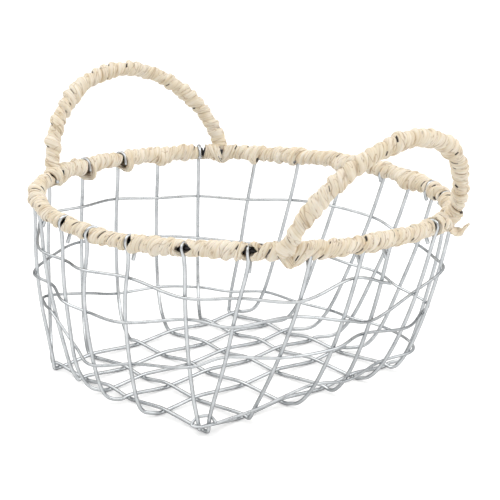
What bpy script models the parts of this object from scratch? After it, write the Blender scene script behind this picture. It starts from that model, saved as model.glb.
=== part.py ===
# Hand-woven wire basket with a raffia-wrapped rim and two raffia-wrapped handles.
# Metres, +X along the basket from handle to handle, +Z up, origin under the middle at rest level.

import math

import bmesh
import bpy
import numpy as np

# Driving sizes
rim_half_length = 0.125
rim_half_depth = 0.876 * rim_half_length
rim_height = 0.1190
base_wire_diameter = 0.0024
weaver_diameter = 0.0019
hoop_diameter = 0.0028
wrap_diameter = 0.0098
fit_gap = 0.0003
loose_gap = 0.0007
wrap_gap = 0.0005
hook_tail = 0.0105
bound_tail = 0.0045
hook_lead = 0.0080
left_handle_rise = 0.0678
right_handle_rise = 0.0718
handle_wrap_start = 0.0140

# Plan of the rim: a rounded oval turned a little, with the low waves of a hand-bent hoop
rim_roundness = 3.24
rim_turn = math.radians(7.9)
rim_tilt_shares = (-0.015, 0.021)
rim_double_wave_shares = (0.006, -0.008)
rim_triple_wave_shares = (-0.018, -0.030)
rim_points = 96
hook_steps = 5
foot_steps = 4
wall_lean = math.radians(14)
tail_lean = math.radians(14)
left_handle_lean = math.radians(19.4)
right_handle_lean = math.radians(24.8)
handle_roundness = 1.90
handle_points = 22

# Base wires lie at these shares of the rim's half length; their ends hook over the rim at these angles
length_wire_shares = (-0.71, -0.465, -0.165, 0.115, 0.37, 0.60)
cross_wire_shares = (-0.68, -0.435, -0.25, -0.075, 0.17, 0.485)
base_overrun_share = 0.03
short_overrun_share = 0.006
weave_level_share = 0.026
right_hook_angles = (-50.1, -35.2, -19.5, -8.2, 15.2, 33.0)
left_hook_angles = (-155.2, -171.2, 172.3, 155.8, 142.3, 124.8)
front_hook_angles = (-141.8, -131.0, -118.5, -107.3, -90.0, -68.6)
back_hook_angles = (108.9, 88.6, 71.0, 60.6, 50.6, 42.0)
right_foot_angles = (-41.5, 24.9)
left_foot_angles = (-159.3, 135.2)

# How far a rib has moved out toward its hook at each share of the rim's height. Some ribs were bent by
# hand to a shape of their own, and at the corners the base runs end just past the last crossing.
rib_height_shares = (0.015, 0.07, 0.18, 0.40, 0.68)
right_reach_shares = (0.10, 0.22, 0.38, 0.60, 0.81)
left_reach_shares = (0.44, 0.78, 1.00, 1.12, 1.08)
front_reach_shares = (0.40, 0.60, 0.76, 0.97, 1.10)
back_reach_shares = (0.20, 0.32, 0.45, 0.62, 0.83)
own_reach_shares = {
    ("front", 0): (0.00, 0.08, 0.28, 0.70, 0.91),
    ("front", 1): (0.05, 0.20, 0.34, 0.60, 0.85),
    ("front", 2): (0.25, 0.46, 0.68, 0.80, 0.94),
    ("front", 5): (0.00, 0.12, 0.34, 0.63, 0.83),
    ("right", 0): (0.00, 0.02, 0.15, 0.45, 0.71),
    ("right", 1): (0.04, 0.10, 0.25, 0.52, 0.80),
    ("left", 5): (0.00, 0.03, 0.14, 0.42, 0.67),
}
short_base_ends = (("front", 0), ("front", 5), ("right", 0))

# The weaver passes the ribs one after another; each pair is a rib count and a share of the rim's height
weaver_height_shares = (
    (0, 0.77), (1, 0.81), (2, 0.75), (4, 0.75), (5, 0.81), (6, 0.80), (8, 0.77), (9, 0.795),
    (10, 0.785), (12, 0.75), (14, 0.705), (17, 0.735), (19, 0.70), (20, 0.66), (22, 0.65), (24, 0.54),
    (26, 0.635), (27, 0.61), (28, 0.62), (29, 0.565), (30, 0.545), (31, 0.56), (35, 0.54), (36, 0.49),
    (38, 0.44), (43, 0.43), (45, 0.38), (46, 0.36), (48, 0.42), (51, 0.42), (52, 0.37), (54, 0.24),
    (55, 0.27), (56, 0.41), (58, 0.31), (60, 0.18), (62, 0.13), (67, 0.14), (68, 0.15), (71, 0.12),
    (73, 0.14), (74, 0.09), (75, 0.04), (76, 0.03),
)
weaver_skips = (25, 50, 75, 76)
weaver_tail = 0.0060

# Windings
turn_points = 8
rim_pitch = 0.0100
handle_turns = 18
narrow_strip_width = 0.0022
narrow_strip_thickness = 0.0018
lashing_width = 0.0038
lashing_thickness = 0.0018
lashing_spread = 0.0062
lashing_start = math.radians(130)
lashing_cross = math.radians(-20)
lashing_land = math.radians(-230)
lashing_end = math.radians(-380)
strip_side_gap = 0.0005
turn_gap = 0.0016
strip_pass = 0.0022
foot_pass = 0.0052

tube_sides = 6
up = np.array((0.0, 0.0, 1.0))
rib_radius = base_wire_diameter / 2
weaver_radius = weaver_diameter / 2
hoop_radius = hoop_diameter / 2
flat_radius = rib_radius * math.cos(math.pi / tube_sides)
weave_rise = rib_radius + fit_gap / 2
base_level = weave_rise + flat_radius
strip_thickness = wrap_diameter / 2 - hoop_radius - wrap_gap

gaps_found = {}


def clear_scene():
    for item in list(bpy.data.objects):
        bpy.data.objects.remove(item, do_unlink=True)


def make_material(name, colour, metallic, roughness):
    material = bpy.data.materials.new(name)
    material.use_nodes = True
    shader = material.node_tree.nodes["Principled BSDF"]
    shader.inputs["Base Color"].default_value = (*colour, 1.0)
    shader.inputs["Metallic"].default_value = metallic
    shader.inputs["Roughness"].default_value = roughness
    return material


def unit(vector):
    return vector / np.linalg.norm(vector)


def directions(path, closed=False):
    """Tangent at each point of a path, halfway between the stretches that meet there."""
    if closed:
        steps = np.roll(path, -1, axis=0) - path
        steps /= np.linalg.norm(steps, axis=1)[:, None]
        ahead = steps + np.roll(steps, 1, axis=0)
    else:
        steps = np.diff(path, axis=0)
        steps /= np.linalg.norm(steps, axis=1)[:, None]
        ahead = np.vstack((steps[:1], steps[1:] + steps[:-1], steps[-1:]))
    return ahead / np.linalg.norm(ahead, axis=1)[:, None]


def carried_normals(path, tangents, start, first):
    """Carries the normal given at one point along the path both ways without twist."""
    normals = np.zeros_like(path)
    normals[start] = unit(first - tangents[start] * (first @ tangents[start]))
    for sequence in (range(start + 1, len(path)), range(start - 1, -1, -1)):
        last = normals[start]
        for index in sequence:
            last = unit(last - tangents[index] * (last @ tangents[index]))
            normals[index] = last
    return normals


def rings_to_object(name, rings, closed, material):
    """Joins rings of corners into one closed solid."""
    mesh = bmesh.new()
    rows = [[mesh.verts.new(corner) for corner in ring] for ring in rings]
    sides = len(rows[0])
    pairs = list(zip(rows, rows[1:]))
    if closed:
        pairs.append((rows[-1], rows[0]))
    for near, far in pairs:
        for side in range(sides):
            after = (side + 1) % sides
            mesh.faces.new((near[side], near[after], far[after], far[side]))
    if not closed:
        mesh.faces.new(rows[0][::-1])
        mesh.faces.new(rows[-1])
    bmesh.ops.recalc_face_normals(mesh, faces=mesh.faces)
    for face in mesh.faces:
        face.smooth = len(face.verts) == 4
    bmesh.ops.triangulate(mesh, faces=mesh.faces, quad_method="LONG_EDGE")
    data = bpy.data.meshes.new(name)
    mesh.to_mesh(data)
    mesh.free()
    data.materials.append(material)
    item = bpy.data.objects.new(name, data)
    bpy.context.collection.objects.link(item)
    return item


def make_tube(name, path, radius, material, start=0, first=up, closed=False):
    """Round wire along a path, with one flat of its section square to the normal it starts with."""
    path = np.asarray(path)
    tangents = directions(path, closed)
    normals = carried_normals(path, tangents, start, first)
    turns = (np.arange(tube_sides) + 0.5) * 2 * math.pi / tube_sides
    rings = []
    for point, tangent, normal in zip(path, tangents, normals):
        side = np.cross(tangent, normal)
        rings.append([point + radius * (math.cos(a) * normal + math.sin(a) * side) for a in turns])
    return rings_to_object(name, rings, closed, material)


def rim_point(degrees):
    angle = math.radians(degrees)
    cosine, sine = math.cos(angle), math.sin(angle)
    depth_share = rim_half_depth / rim_half_length
    spread = abs(cosine) ** rim_roundness + abs(sine / depth_share) ** rim_roundness
    reach = spread ** (-1 / rim_roundness)
    x = reach * math.cos(angle + rim_turn)
    y = reach * math.sin(angle + rim_turn)
    z = rim_tilt_shares[0] * x + rim_tilt_shares[1] * y
    for waves, (even, odd) in ((2, rim_double_wave_shares), (3, rim_triple_wave_shares)):
        z += even * math.cos(waves * angle) + odd * math.sin(waves * angle)
    return np.array((x, y, z)) * rim_half_length + up * (base_level + rim_height)


class Track:
    """A path with a place, a tangent and an outward and an upward direction at each distance along it."""

    def __init__(self, path, tangents, outward, closed=False):
        self.closed = closed
        if closed:
            path, tangents, outward = (np.vstack((a, a[:1])) for a in (path, tangents, outward))
        steps = np.linalg.norm(np.diff(path, axis=0), axis=1)
        self.distance = np.concatenate(((0.0,), np.cumsum(steps)))
        self.length = self.distance[-1]
        self.path, self.tangents, self.outward = path, tangents, outward

    def blend(self, table, at):
        if self.closed:
            at = at % self.length
        return np.array([np.interp(at, self.distance, table[:, axis]) for axis in range(3)])

    def frame(self, at):
        tangent = unit(self.blend(self.tangents, at))
        outward = self.blend(self.outward, at)
        outward = unit(outward - tangent * (outward @ tangent))
        upward = np.cross(outward, tangent)
        return self.blend(self.path, at), tangent, outward, upward


def make_rim_track():
    angles = np.arange(rim_points) * 360 / rim_points - 180
    path = np.array([rim_point(degrees) for degrees in angles])
    tangents = directions(path, closed=True)
    outward = np.cross(tangents, up)
    outward /= np.linalg.norm(outward, axis=1)[:, None]
    leaned = outward * math.cos(wall_lean) - up * math.sin(wall_lean)
    track = Track(path, tangents, leaned, closed=True)
    track.angles = np.append(angles, 180.0)
    return track


def rim_distance(track, degrees):
    return np.interp((degrees + 180) % 360 - 180, track.angles, track.distance)


def hook_over(track, at, tail):
    """Centre line of a hook over the rim hoop: up the outside, over the top and down to the cut tail."""
    point, _, outward, upward = track.frame(at)
    reach = (hoop_radius + fit_gap + rib_radius) / math.cos(math.pi / hook_steps / 2)
    line = [point + outward * reach - upward * hook_lead]
    for step in range(hook_steps + 1):
        turn = math.pi * step / hook_steps
        line.append(point + reach * (math.cos(turn) * outward + math.sin(turn) * upward))
    line.append(line[-1] - upward * bound_tail)
    if tail:
        level = unit(np.array((outward[0], outward[1], 0.0)))
        line.append(line[-1] + tail * (level * math.sin(tail_lean) - up * math.cos(tail_lean)))
    return line


def make_rib(start, reach_shares, track, degrees, tail):
    """Centre line of one rib, from the end of its base run to the tail of its hook."""
    hook = hook_over(track, rim_distance(track, degrees), tail)
    top = hook[1]
    line = []
    for height, reach in zip(rib_height_shares, reach_shares):
        point = start + (top - start) * reach
        point[2] = start[2] + (top[2] - start[2]) * height
        line.append(point)
    return line + hook


def weave_run(places, fixed, along, high_first):
    """Base stretch of a wire: level for a moment over or under each wire that it crosses."""
    level = weave_level_share * rim_half_length
    line = []
    for count, place in enumerate(places):
        high = (count % 2 == 0) == high_first
        z = base_level + (weave_rise if high else -weave_rise)
        for shift in (-level, level):
            point = np.zeros(3)
            point[along] = place + shift
            point[1 - along] = fixed
            point[2] = z
            line.append(point)
    return line


def make_base_wires(track, steel):
    """Builds the twelve base wires and returns the rib centre lines in the order the weaver meets them."""
    lengths = [share * rim_half_length for share in length_wire_shares]
    crosses = [share * rim_half_length for share in cross_wire_shares]
    sides = {
        "left": (left_hook_angles, left_reach_shares, 0.0),
        "right": (right_hook_angles, right_reach_shares, hook_tail),
        "front": (front_hook_angles, front_reach_shares, hook_tail),
        "back": (back_hook_angles, back_reach_shares, 0.0),
    }
    sets = (
        ("length_wire", 0, lengths, crosses, "left", "right"),
        ("cross_wire", 1, crosses, lengths, "front", "back"),
    )
    ribs = {}
    for name, along, fixed_places, places, low, high in sets:
        for index, fixed in enumerate(fixed_places):
            run = weave_run(places, fixed, along, (index + along) % 2 == 0)
            halves = []
            for point, sign, side in ((run[0], -1, low), (run[-1], 1, high)):
                angles, reach, tail = sides[side]
                overrun = short_overrun_share if (side, index) in short_base_ends else base_overrun_share
                end = point.copy()
                end[along] += sign * overrun * rim_half_length
                end[2] = base_level
                rib = make_rib(end, own_reach_shares.get((side, index), reach), track, angles[index], tail)
                ribs[side, index] = rib
                halves.append([end] + rib)
            path = halves[0][::-1] + run + halves[1]
            middle = len(halves[0]) + len(run) // 2
            make_tube(f"{name}_{index + 1}", path, rib_radius, steel, middle)
    order = [("right", 3), ("right", 2), ("right", 1), ("right", 0)]
    order += [("front", index) for index in reversed(range(6))]
    order += [("left", index) for index in range(6)]
    order += [("back", index) for index in range(6)]
    order += [("right", 5), ("right", 4)]
    return [np.array(ribs[key]) for key in order]


def rib_at(rib, share):
    """Point and direction of a rib at a share of the rim's height."""
    top = len(rib_height_shares) + 2
    heights = rib[:top, 2]
    at = base_level + share * (rib[top - 1, 2] - base_level)
    point = np.array([np.interp(at, heights, rib[:top, axis]) for axis in range(3)])
    index = int(np.clip(np.searchsorted(heights, at), 1, top - 1))
    return point, unit(rib[index] - rib[index - 1])


def make_weaver(ribs, steel):
    """One long wire that spirals down the wall, outside one rib and inside the next."""
    counts, shares = zip(*weaver_height_shares)
    passes = range(counts[-1] + 1)
    heights = np.interp(passes, counts, shares)
    centres = [rib_at(ribs[index % len(ribs)], heights[index]) for index in passes]
    offset = rib_radius + weaver_radius + loose_gap
    line = []
    for index in passes:
        point, direction = centres[index]
        before = centres[max(index - 1, 0)][0]
        after = centres[min(index + 1, len(centres) - 1)][0]
        outward = np.cross(direction, unit(after - before))
        outward = unit(outward)
        skips = sum(index >= skip for skip in weaver_skips)
        side = 1 if (index + skips) % 2 == 0 else -1
        if outward @ point < 0:
            outward = -outward
        line.append(point + outward * offset * side)
    start = line[0] + unit(line[0] - line[1]) * weaver_tail
    end = line[-1] + unit(line[-1] - line[-2]) * weaver_tail
    return make_tube("weaver_wire", [start] + line + [end], weaver_radius, steel)


def make_handle(name, track, foot_angles, height, lean, side, dark):
    """A round arch whose two ends hook under the rim hoop from outside."""
    feet = [rim_distance(track, degrees) for degrees in foot_angles]
    hooks = []
    for at in feet:
        point, _, outward, upward = track.frame(at)
        reach = (2 * hoop_radius + fit_gap) / math.cos(math.pi / foot_steps / 2)
        turns = [-math.pi * step / foot_steps for step in range(foot_steps + 1)]
        hook = [point + reach * (math.cos(turn) * outward + math.sin(turn) * upward) for turn in turns]
        hook.append(hook[-1] + upward * hoop_radius)
        hooks.append(hook)
    low, high = hooks[0][0], hooks[1][0]
    middle, half = (low + high) / 2, (high - low) / 2
    rise = up * math.cos(lean) + np.array((side, 0.0, 0.0)) * math.sin(lean)
    power = 2 / handle_roundness
    arch = []
    for step in range(1, handle_points):
        turn = math.pi * step / handle_points
        across = -math.copysign(abs(math.cos(turn)) ** power, math.cos(turn))
        arch.append(middle + half * across + rise * height * math.sin(turn) ** power)
    path = hooks[0][::-1] + arch + hooks[1]
    make_tube(name, path, hoop_radius, dark)
    arch = np.array([low] + arch + [high])
    tangents = directions(arch)
    tangents[0], tangents[-1] = rise, -rise
    outward = np.tile(unit(np.cross(half, rise)), (len(arch), 1))
    return feet, Track(arch, tangents, outward)


def make_strip(name, track, stations, material):
    """Flat strip round a track; a station is distance, turn, radius, half width and half thickness."""
    distance, turn, radius, half_width, half_thickness = np.array(stations).T
    path, radial = [], []
    for at, angle, reach in zip(distance, turn, radius):
        point, _, outward, upward = track.frame(at)
        spoke = math.cos(angle) * outward + math.sin(angle) * upward
        radial.append(spoke)
        path.append(point + spoke * reach)
    path = np.array(path)
    tangents = directions(path)
    rings = []
    for index, point in enumerate(path):
        spoke = unit(radial[index] - tangents[index] * (radial[index] @ tangents[index]))
        side = np.cross(tangents[index], spoke)
        wide, thick = side * half_width[index], spoke * half_thickness[index]
        rings.append([point + wide + thick, point - wide + thick, point - wide - thick,
                      point + wide - thick])
    gaps_found[name] = least_gap(np.array(rings))
    return rings_to_object(name, rings, False, material)


def least_gap(rings):
    """Least distance between the edges of turns more than half a turn apart."""
    edges = np.concatenate((rings, (rings + np.roll(rings, -1, axis=1)) / 2), axis=1)
    middles = (edges[1:] + edges[:-1]) / 2
    stations = np.empty((len(edges) + len(middles), *edges.shape[1:]))
    stations[0::2], stations[1::2] = edges, middles
    least = math.inf
    for index in range(len(stations) - turn_points - 2):
        others = stations[index + turn_points + 2:].reshape(-1, 3)
        apart = np.linalg.norm(stations[index][:, None] - others[None], axis=2)
        least = min(least, apart.min())
    return least


def full_radius(core, thickness):
    """Radius of a strip's middle that clears its core by the wrap gap also between its points."""
    return (core + wrap_gap + thickness / 2) / math.cos(math.pi / turn_points)


def rim_strip_stations(start, hooks, end):
    """Winds between hooks and passes narrowly under the hoop at each hook."""
    bottom = -math.pi / 2
    narrow = (full_radius(hoop_radius, narrow_strip_thickness), narrow_strip_width / 2,
              narrow_strip_thickness / 2)
    stations = []
    turn = bottom
    marks = [start] + hooks + [end]
    for left, right in zip(marks, marks[1:]):
        first = left + (foot_pass if left == start else strip_pass)
        last = right - (foot_pass if right == end else strip_pass)
        turns = max(1, round((last - first) / rim_pitch))
        pitch = (last - first) / turns
        radius = full_radius(hoop_radius, strip_thickness)
        slope = math.atan(pitch / (2 * math.pi * radius))
        widest = (pitch * math.cos(slope) - turn_gap) / 2
        steps = turns * turn_points
        stations.append((first, turn, *narrow))
        for step in range(1, steps):
            at = first + (last - first) * step / steps
            near = min(at - left, right - at)
            room = near - hoop_radius - strip_side_gap
            half = min(widest, max(room, narrow_strip_width / 2))
            growth = min(1.0, half / widest)
            thick = narrow_strip_thickness + (strip_thickness - narrow_strip_thickness) * growth
            angle = turn + 2 * math.pi * step / turn_points
            stations.append((at, angle, full_radius(hoop_radius, thick), half, thick / 2))
        turn += 2 * math.pi * turns
        stations.append((last, turn, *narrow))
    return stations


def make_rim_wraps(track, hook_distances, foot_distances, raffia):
    """One raffia strip for each stretch of rim between two handle feet."""
    names = ("rim_wrap_left", "rim_wrap_front", "rim_wrap_right", "rim_wrap_back")
    feet = sorted(foot_distances)
    stretches = [(feet[3] - track.length, feet[0]), (feet[0], feet[1]), (feet[1], feet[2]),
                 (feet[2], feet[3])]
    for name, (start, end) in zip(names, stretches):
        hooks = sorted(
            at + shift
            for at in hook_distances
            for shift in (0, -track.length)
            if start < at + shift < end
        )
        make_strip(name, track, rim_strip_stations(start, hooks, end), raffia)


def make_handle_wrap(name, track, raffia):
    start, end = handle_wrap_start, track.length - handle_wrap_start
    pitch = (end - start) / handle_turns
    radius = full_radius(hoop_radius, strip_thickness)
    slope = math.atan(pitch / (2 * math.pi * radius))
    half = (pitch * math.cos(slope) - turn_gap) / 2
    steps = handle_turns * turn_points
    stations = []
    for step in range(steps + 1):
        at = start + (end - start) * step / steps
        angle = 2 * math.pi * step / turn_points
        stations.append((at, angle, radius, half, strip_thickness / 2))
    return make_strip(name, track, stations, raffia)


def make_lashing(name, track, foot, raffia):
    """Strip that binds a handle foot to the rim, passing on both sides of the rising handle."""
    core = wrap_diameter / 2 + loose_gap
    radius = full_radius(core, lashing_thickness)
    steps = round((lashing_start - lashing_end) / (2 * math.pi) * turn_points)
    stations = []
    for step in range(steps + 1):
        angle = lashing_start + (lashing_end - lashing_start) * step / steps
        share = (lashing_cross - angle) / (lashing_cross - lashing_land)
        share = min(max(share, 0.0), 1.0)
        at = foot - lashing_spread * math.cos(math.pi * share)
        stations.append((at, angle, radius, lashing_width / 2, lashing_thickness / 2))
    return make_strip(name, track, stations, raffia)


def rest_on_origin():
    """Moves every piece alike so that the whole sits on z = 0 with its box centred on the origin."""
    pieces = [item for item in bpy.data.objects if item.type == "MESH"]
    corners = np.array([vertex.co for item in pieces for vertex in item.data.vertices])
    low, high = corners.min(axis=0), corners.max(axis=0)
    shift = -(low + high) / 2
    shift[2] = -low[2]
    for item in pieces:
        item.location = shift
    bpy.context.view_layer.update()
    print("moved by", [round(1000 * value, 3) for value in shift], "mm")
    print("size", [round(1000 * value, 1) for value in high - low], "mm")


def build():
    clear_scene()
    steel = make_material("galvanised_wire", (0.62, 0.65, 0.68), 1.0, 0.32)
    dark = make_material("dark_core_wire", (0.045, 0.043, 0.045), 0.6, 0.5)
    raffia = make_material("raffia_strip", (0.83, 0.71, 0.52), 0.0, 0.75)
    track = make_rim_track()
    make_tube("rim_hoop", track.path[:-1], hoop_radius, dark, closed=True)
    ribs = make_base_wires(track, steel)
    make_weaver(ribs, steel)
    left_feet, left_arch = make_handle(
        "handle_wire_left", track, left_foot_angles, left_handle_rise, left_handle_lean, -1, dark
    )
    right_feet, right_arch = make_handle(
        "handle_wire_right", track, right_foot_angles, right_handle_rise, right_handle_lean, 1, dark
    )
    angles = right_hook_angles + left_hook_angles + front_hook_angles + back_hook_angles
    hooks = [rim_distance(track, degrees) for degrees in angles]
    make_rim_wraps(track, hooks, left_feet + right_feet, raffia)
    make_handle_wrap("handle_wrap_left", left_arch, raffia)
    make_handle_wrap("handle_wrap_right", right_arch, raffia)
    names = ("left_front", "left_back", "right_front", "right_back")
    for name, foot in zip(names, left_feet + right_feet):
        make_lashing(f"foot_lashing_{name}", track, foot, raffia)
    rest_on_origin()
    for name, gap in gaps_found.items():
        print(name, "least gap to itself", round(1000 * gap, 2), "mm")


build()
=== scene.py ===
import math

import bmesh
import bpy
import numpy as np
from mathutils import Matrix, Vector, noise


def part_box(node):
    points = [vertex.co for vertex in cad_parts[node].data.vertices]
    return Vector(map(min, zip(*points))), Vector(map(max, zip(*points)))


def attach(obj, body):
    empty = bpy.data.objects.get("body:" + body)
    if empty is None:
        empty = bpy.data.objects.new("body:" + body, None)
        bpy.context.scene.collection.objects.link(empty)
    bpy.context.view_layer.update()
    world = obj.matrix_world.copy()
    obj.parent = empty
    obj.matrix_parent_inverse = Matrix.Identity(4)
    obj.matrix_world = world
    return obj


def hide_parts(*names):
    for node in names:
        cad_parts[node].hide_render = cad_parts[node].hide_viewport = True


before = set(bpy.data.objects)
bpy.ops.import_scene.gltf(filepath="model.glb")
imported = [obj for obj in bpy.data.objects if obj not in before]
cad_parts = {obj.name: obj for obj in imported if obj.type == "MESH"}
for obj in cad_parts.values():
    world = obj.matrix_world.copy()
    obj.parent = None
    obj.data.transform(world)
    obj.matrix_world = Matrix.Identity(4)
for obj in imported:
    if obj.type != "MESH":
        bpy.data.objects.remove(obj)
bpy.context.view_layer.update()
scene = bpy.context.scene
scene.view_settings.view_transform = "Standard"
up = np.array((0.0, 0.0, 1.0))


# The rim line. The real rim is a hand-bent oval hoop, turned a little against the base and gently waved.
# Everything on the basket hangs from it, so its line is worked out first. The numbers of its plan are
# rounded results of the fit that also gave the camera.
rim_half_length = 0.125
rim_half_depth = 0.876 * rim_half_length
rim_height = 0.119
rim_roundness = 3.24
rim_turn = math.radians(7.9)
rim_tilt_shares = (-0.015, 0.021)
rim_double_wave_shares = (0.006, -0.008)
rim_triple_wave_shares = (-0.018, -0.030)
rim_points = 288
wall_lean = math.radians(14)


def unit(vector):
    return vector / np.linalg.norm(vector, axis=-1, keepdims=True)


def directions(path, closed=False):
    """Tangent at each point of a path."""
    if closed:
        return unit(np.roll(path, -1, axis=0) - np.roll(path, 1, axis=0))
    return unit(np.gradient(path, axis=0))


def rim_point(degrees):
    angle = math.radians(degrees)
    cosine = math.cos(angle)
    sine = math.sin(angle)
    spread = abs(cosine) ** rim_roundness
    spread += abs(sine * rim_half_length / rim_half_depth) ** rim_roundness
    reach = spread ** (-1 / rim_roundness)
    x = reach * math.cos(angle + rim_turn)
    y = reach * math.sin(angle + rim_turn)
    z = rim_tilt_shares[0] * x + rim_tilt_shares[1] * y
    for waves, (even, odd) in ((2, rim_double_wave_shares), (3, rim_triple_wave_shares)):
        z += even * math.cos(waves * angle) + odd * math.sin(waves * angle)
    return np.array((x, y, z)) * rim_half_length + rim_centre


class Track:
    """A path with a place, a tangent, an outward and an upward direction at each distance along it."""

    def __init__(self, path, tangents, outward, closed=False):
        self.closed = closed
        if closed:
            path, tangents, outward = (np.vstack((a, a[:1])) for a in (path, tangents, outward))
        steps = np.linalg.norm(np.diff(path, axis=0), axis=1)
        self.distance = np.concatenate(((0.0,), np.cumsum(steps)))
        self.length = self.distance[-1]
        self.table = np.hstack((path, tangents, outward))

    def frame(self, at):
        if self.closed:
            at = at % self.length
        rows = np.stack([np.interp(at, self.distance, column) for column in self.table.T], axis=-1)
        point = rows[..., 0:3]
        tangent = unit(rows[..., 3:6])
        outward = rows[..., 6:9]
        outward = unit(outward - tangent * (outward * tangent).sum(axis=-1, keepdims=True))
        return point, tangent, outward, np.cross(outward, tangent)


# The plan is drawn round zero first, and then moved to where the CAD hoop is
rim_centre = np.zeros(3)
rim_angles = np.arange(rim_points) * 360 / rim_points - 180
rim_path = np.array([rim_point(degrees) for degrees in rim_angles])
hoop_low, hoop_high = (np.array(corner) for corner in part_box("rim_hoop"))
rim_centre = (hoop_low + hoop_high) / 2 - (rim_path.min(axis=0) + rim_path.max(axis=0)) / 2
rim_path += rim_centre
rim_tangents = directions(rim_path, closed=True)
rim_outward = unit(np.cross(rim_tangents, up)) * math.cos(wall_lean) - up * math.sin(wall_lean)
rim_track = Track(rim_path, rim_tangents, rim_outward, closed=True)
rim_table_angles = np.append(rim_angles, 180.0)


def within_half_turn(degrees):
    return (degrees + 180) % 360 - 180


def rim_distance(degrees):
    return float(np.interp(within_half_turn(degrees), rim_table_angles, rim_track.distance))


# The camera stands where the photographer stood: level with the front corner and a little above the rim,
# with a long lens. Its numbers were fitted to the basket's own outline and base grid.
camera_azimuth = math.radians(46.177)
camera_elevation = math.radians(14.412)
camera_roll = math.radians(0.763)
camera_distance = 8.090 * rim_half_length
camera_aim_right = 0.03962 * rim_half_length
camera_aim_up = -0.27665 * rim_half_length
camera_sensor = 36.0
photo_pixels = 500
focal_pixels = 1547.4

away = np.array((
    math.sin(camera_azimuth) * math.cos(camera_elevation),
    -math.cos(camera_azimuth) * math.cos(camera_elevation),
    math.sin(camera_elevation),
))
sideways = np.array((math.cos(camera_azimuth), math.sin(camera_azimuth), 0.0))
rising = np.cross(away, sideways)
camera_place = rim_centre + away * camera_distance
camera_target = rim_centre + sideways * camera_aim_right + rising * camera_aim_up
back_axis = unit(camera_place - camera_target)
level_axis = unit(np.cross(up, back_axis))
steep_axis = np.cross(back_axis, level_axis)
right_axis = level_axis * math.cos(camera_roll) + steep_axis * math.sin(camera_roll)
top_axis = steep_axis * math.cos(camera_roll) - level_axis * math.sin(camera_roll)
camera_data = bpy.data.cameras.new("photo_camera")
camera_data.sensor_width = camera_sensor
camera_data.lens = focal_pixels / photo_pixels * camera_sensor
camera = bpy.data.objects.new("photo_camera", camera_data)
scene.collection.objects.link(camera)
camera.matrix_world = Matrix([
    [*(axis[row] for axis in (right_axis, top_axis, back_axis)), camera_place[row]] for row in range(3)
] + [[0.0, 0.0, 0.0, 1.0]])
scene.camera = camera


# The table and the light: a white sweep of paper under large soft lamps, as for a shop picture.
# The paper shows white to the camera, and still takes the soft shadow of the wires.
paper_size = 6.0
paper_colour = (0.86, 0.86, 0.86, 1.0)
paper_roughness = 0.9
paper_specular = 0.1
paper_lift = 0.24
# Name, place, size, power and colour of each lamp
lamp_table = (
    ("front_lamp", (1.9, -2.2, 4.6), 3.4, 24.0, (1.0, 1.0, 1.0)),
    ("key_lamp", (-1.2, -0.9, 1.7), 1.8, 16.0, (1.0, 0.99, 0.97)),
    ("back_lamp", (1.5, 1.2, 1.5), 2.0, 19.0, (1.0, 1.0, 1.0)),
)
horizon_strength = 0.30
sky_strength = 0.98
sky_rise = 0.7


def feed(tree, socket, value):
    """Gives a socket its value: a link from another socket, or a plain value."""
    if isinstance(value, bpy.types.NodeSocket):
        tree.links.new(value, socket)
    else:
        socket.default_value = value


def math_node(tree, operation, *values):
    node = tree.nodes.new("ShaderNodeMath")
    node.operation = operation
    for socket, value in zip(node.inputs, values):
        feed(tree, socket, value)
    return node.outputs[0]


def range_node(tree, source, limits, results=(0.0, 1.0)):
    node = tree.nodes.new("ShaderNodeMapRange")
    labels = ("Value", "From Min", "From Max", "To Min", "To Max")
    for label, value in zip(labels, (source, *limits, *results)):
        feed(tree, node.inputs[label], value)
    return node.outputs["Result"]


floor_mesh = bpy.data.meshes.new("table_paper")
half_paper = paper_size / 2
floor_mesh.from_pydata(
    [(-half_paper, -half_paper, 0), (half_paper, -half_paper, 0),
     (half_paper, half_paper, 0), (-half_paper, half_paper, 0)],
    [], [(0, 1, 2, 3)],
)
floor = bpy.data.objects.new("table_paper", floor_mesh)
scene.collection.objects.link(floor)
paper = bpy.data.materials.new("white_paper")
paper.use_nodes = True
tree = paper.node_tree
shader = tree.nodes["Principled BSDF"]
shader.inputs["Base Color"].default_value = paper_colour
shader.inputs["Roughness"].default_value = paper_roughness
shader.inputs["Specular IOR Level"].default_value = paper_specular
seen = tree.nodes.new("ShaderNodeLightPath")
glow = tree.nodes.new("ShaderNodeEmission")
feed(tree, glow.inputs["Strength"], math_node(tree, "MULTIPLY", seen.outputs["Is Camera Ray"], paper_lift))
total = tree.nodes.new("ShaderNodeAddShader")
tree.links.new(shader.outputs[0], total.inputs[0])
tree.links.new(glow.outputs[0], total.inputs[1])
tree.links.new(total.outputs[0], tree.nodes["Material Output"].inputs["Surface"])
floor_mesh.materials.append(paper)

world = bpy.data.worlds.new("white_room")
scene.world = world
world.use_nodes = True
tree = world.node_tree
room = tree.nodes["Background"]
room.inputs["Color"].default_value = (1.0, 1.0, 1.0, 1.0)
seen = tree.nodes.new("ShaderNodeLightPath")
direction = tree.nodes.new("ShaderNodeTexCoord")
split = tree.nodes.new("ShaderNodeSeparateXYZ")
tree.links.new(direction.outputs["Generated"], split.inputs["Vector"])
dome = range_node(tree, split.outputs["Z"], (0.0, sky_rise), (horizon_strength, sky_strength))
level = range_node(tree, seen.outputs["Is Camera Ray"], (0.0, 1.0), (dome, 1.0))
tree.links.new(level, room.inputs["Strength"])

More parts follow.
